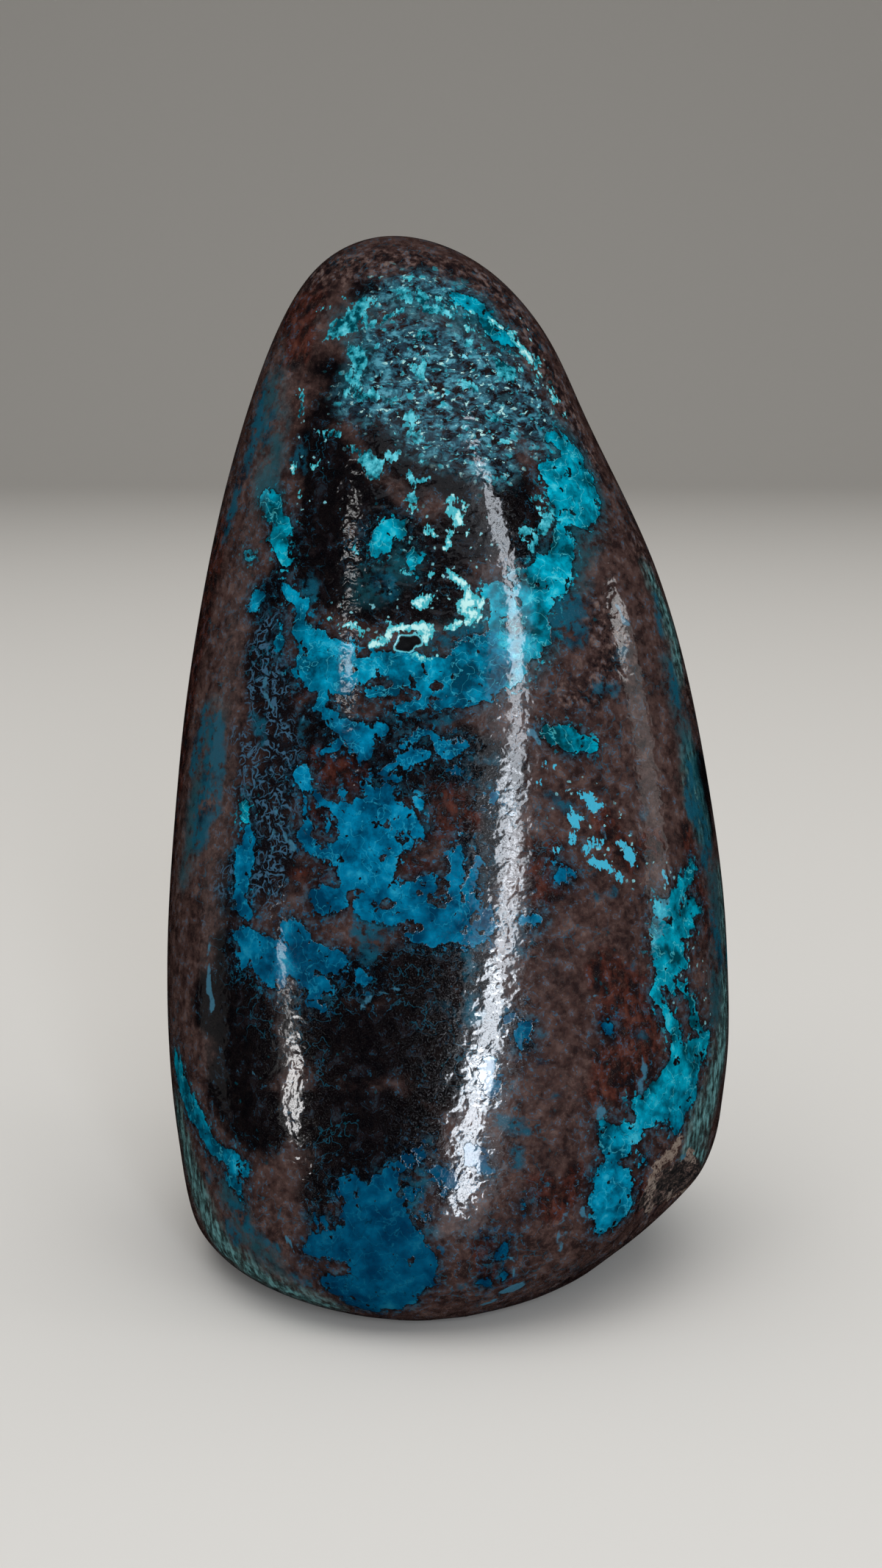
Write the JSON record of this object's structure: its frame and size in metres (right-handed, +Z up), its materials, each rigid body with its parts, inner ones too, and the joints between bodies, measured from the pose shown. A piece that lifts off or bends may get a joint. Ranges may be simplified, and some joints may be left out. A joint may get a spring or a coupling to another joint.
{
  "type": "chrysocolla freeform",
  "caption": "Polished free-standing chrysocolla stone, tapered to a rounded tip, that rests on a small flat spot.",
  "frame": {"origin": "centre of the bounding box, at the level of the flat spot that the stone stands on", "axes": "+Z up to the tip, front face towards -Y, +X to the right as seen from the front"},
  "size_m": [0.0592, 0.0542, 0.105],
  "materials": {
    "polished_chrysocolla": "hand-polished gloss: brown and near-black matrix with turquoise blue and teal patches, fine veins and specks, and one small rough unpolished hollow"
  },
  "bodies": {
    "root": {"freeform_stone": "polished_chrysocolla"}
  },
  "joints": []
}
